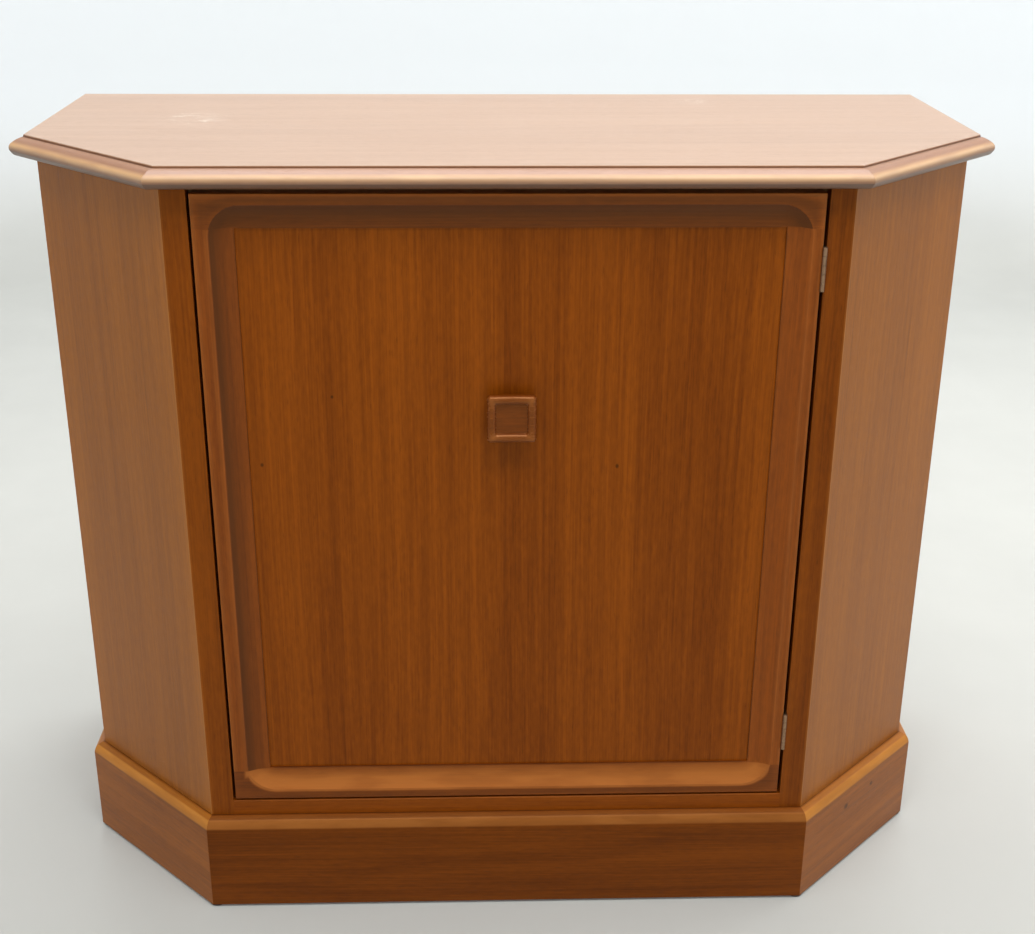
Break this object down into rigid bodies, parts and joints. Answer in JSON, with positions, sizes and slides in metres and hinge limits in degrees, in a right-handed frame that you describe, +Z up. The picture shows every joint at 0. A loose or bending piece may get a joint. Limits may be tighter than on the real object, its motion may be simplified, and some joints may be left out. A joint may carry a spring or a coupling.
{
  "type": "low cupboard with canted corners",
  "caption": "Low wooden cupboard with canted front corners, a moulded top, a plinth, a framed door on butt hinges with a square pull, and a shelf inside.",
  "frame": {"origin": "middle of the bounding box's footprint, at floor level under the glides", "axes": "+Z up; -Y is the front, which the door faces; +X is to the right of someone facing the door"},
  "size_m": [1.0254, 0.454, 0.85],
  "materials": {
    "teak_top": "satin lacquer, horizontal grain",
    "teak_edge": "satin lacquer, solid wood edge moulding",
    "teak_side": "satin lacquer, vertical grain",
    "teak_door": "satin lacquer, fine vertical grain",
    "teak_plinth": "satin lacquer, figured horizontal grain",
    "inner_wood": "plain sealed wood, inside and underside",
    "back_board": "thin plywood, unfinished",
    "hinge_metal": "dull plated steel",
    "screw_metal": "plain zinc-plated steel",
    "catch_plastic": "brown moulded plastic",
    "magnet": "sintered ferrite",
    "glide_plastic": "dark moulded plastic"
  },
  "bodies": {
    "cabinet": {"top_panel": "teak_top", "top_moulding_front": "teak_edge", "top_moulding_left": "teak_edge", "top_moulding_right": "teak_edge", "side_panel_left": "teak_side", "side_panel_right": "teak_side", "cant_panel_left": "teak_side", "cant_panel_right": "teak_side", "front_stile_left": "teak_side", "front_stile_right": "teak_side", "lower_front_rail": "teak_side", "plinth_front": "teak_plinth", "plinth_cant_left": "teak_plinth", "plinth_cant_right": "teak_plinth", "plinth_side_left": "teak_plinth", "plinth_side_right": "teak_plinth", "bottom_panel": "inner_wood", "top_rail_front": "inner_wood", "top_rail_back": "inner_wood", "front_corner_block_left": "inner_wood", "front_corner_block_right": "inner_wood", "side_corner_blocks": "inner_wood", "shelf": "inner_wood", "shelf_lipping": "inner_wood", "plinth_back": "inner_wood", "plinth_corner_blocks": "inner_wood", "plinth_back_blocks": "inner_wood", "back_panel": "back_board", "hinge_upper_frame_leaf": "hinge_metal", "hinge_upper_pin": "hinge_metal", "hinge_lower_frame_leaf": "hinge_metal", "hinge_lower_pin": "hinge_metal", "hinge_frame_screws": "hinge_metal", "back_panel_screws": "screw_metal", "top_screws": "screw_metal", "shelf_pins": "screw_metal", "plinth_screws": "screw_metal", "catch_screws": "screw_metal", "catch_pole_plates": "screw_metal", "catch_body": "catch_plastic", "catch_magnet": "magnet", "glides": "glide_plastic"},
    "door": {"door_rail_top": "teak_door", "door_rail_bottom": "teak_door", "door_stile_left": "teak_door", "door_stile_right": "teak_door", "door_panel": "teak_door", "pull_grip": "teak_door", "pull_neck": "teak_door", "pull_fixing_screw": "screw_metal", "hinge_upper_door_leaf": "hinge_metal", "hinge_lower_door_leaf": "hinge_metal", "hinge_door_screws": "hinge_metal", "strike_plate": "hinge_metal", "strike_screws": "hinge_metal"}
  },
  "joints": [
    {"name": "door_hinge", "type": "hinge", "parent": "cabinet", "child": "door", "pos_m": [0.3068, -0.2047, 0.48025], "axis": [0, 0, 1], "range_deg": [0, 175]}
  ]
}
